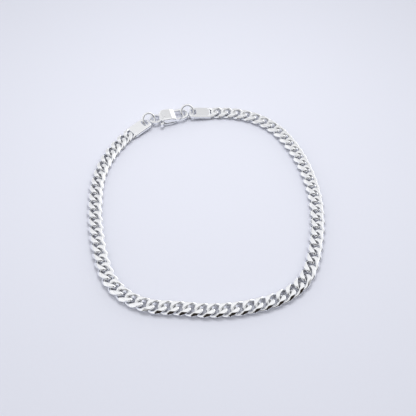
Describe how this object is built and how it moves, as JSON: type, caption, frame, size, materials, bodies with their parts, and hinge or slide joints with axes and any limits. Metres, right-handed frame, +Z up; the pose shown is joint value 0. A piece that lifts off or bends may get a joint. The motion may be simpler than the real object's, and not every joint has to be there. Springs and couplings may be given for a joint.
{
  "type": "link bracelet",
  "caption": "Polished silver flat-cut curb chain bracelet, fastened in a loop, with a plain end tab on each side of its lobster clasp and jump ring.",
  "frame": {"origin": "centre of the bracelet's footprint, on the surface that it lies on", "axes": "+X to the right across the loop, +Y away from the viewer towards the clasp, +Z up"},
  "size_m": [0.0613, 0.0708, 0.0034],
  "materials": {
    "silver": "polished sterling silver"
  },
  "bodies": {
    "bracelet": {"chain_left": "silver", "chain_right": "silver", "end_tab_left": "silver", "end_tab_right": "silver", "jump_ring_left": "silver", "jump_ring_right": "silver", "clasp_body": "silver", "clasp_pin": "silver"},
    "lever": {"clasp_lever": "silver"}
  },
  "joints": [
    {"name": "lever_pivot", "type": "hinge", "parent": "bracelet", "child": "lever", "pos_m": [-0.01156, 0.02978, 0.0013], "axis": [0, 0, 1], "range_deg": [0, 24], "stiffness_Nm_per_rad": 0.004, "springref_deg": -11.46}
  ]
}
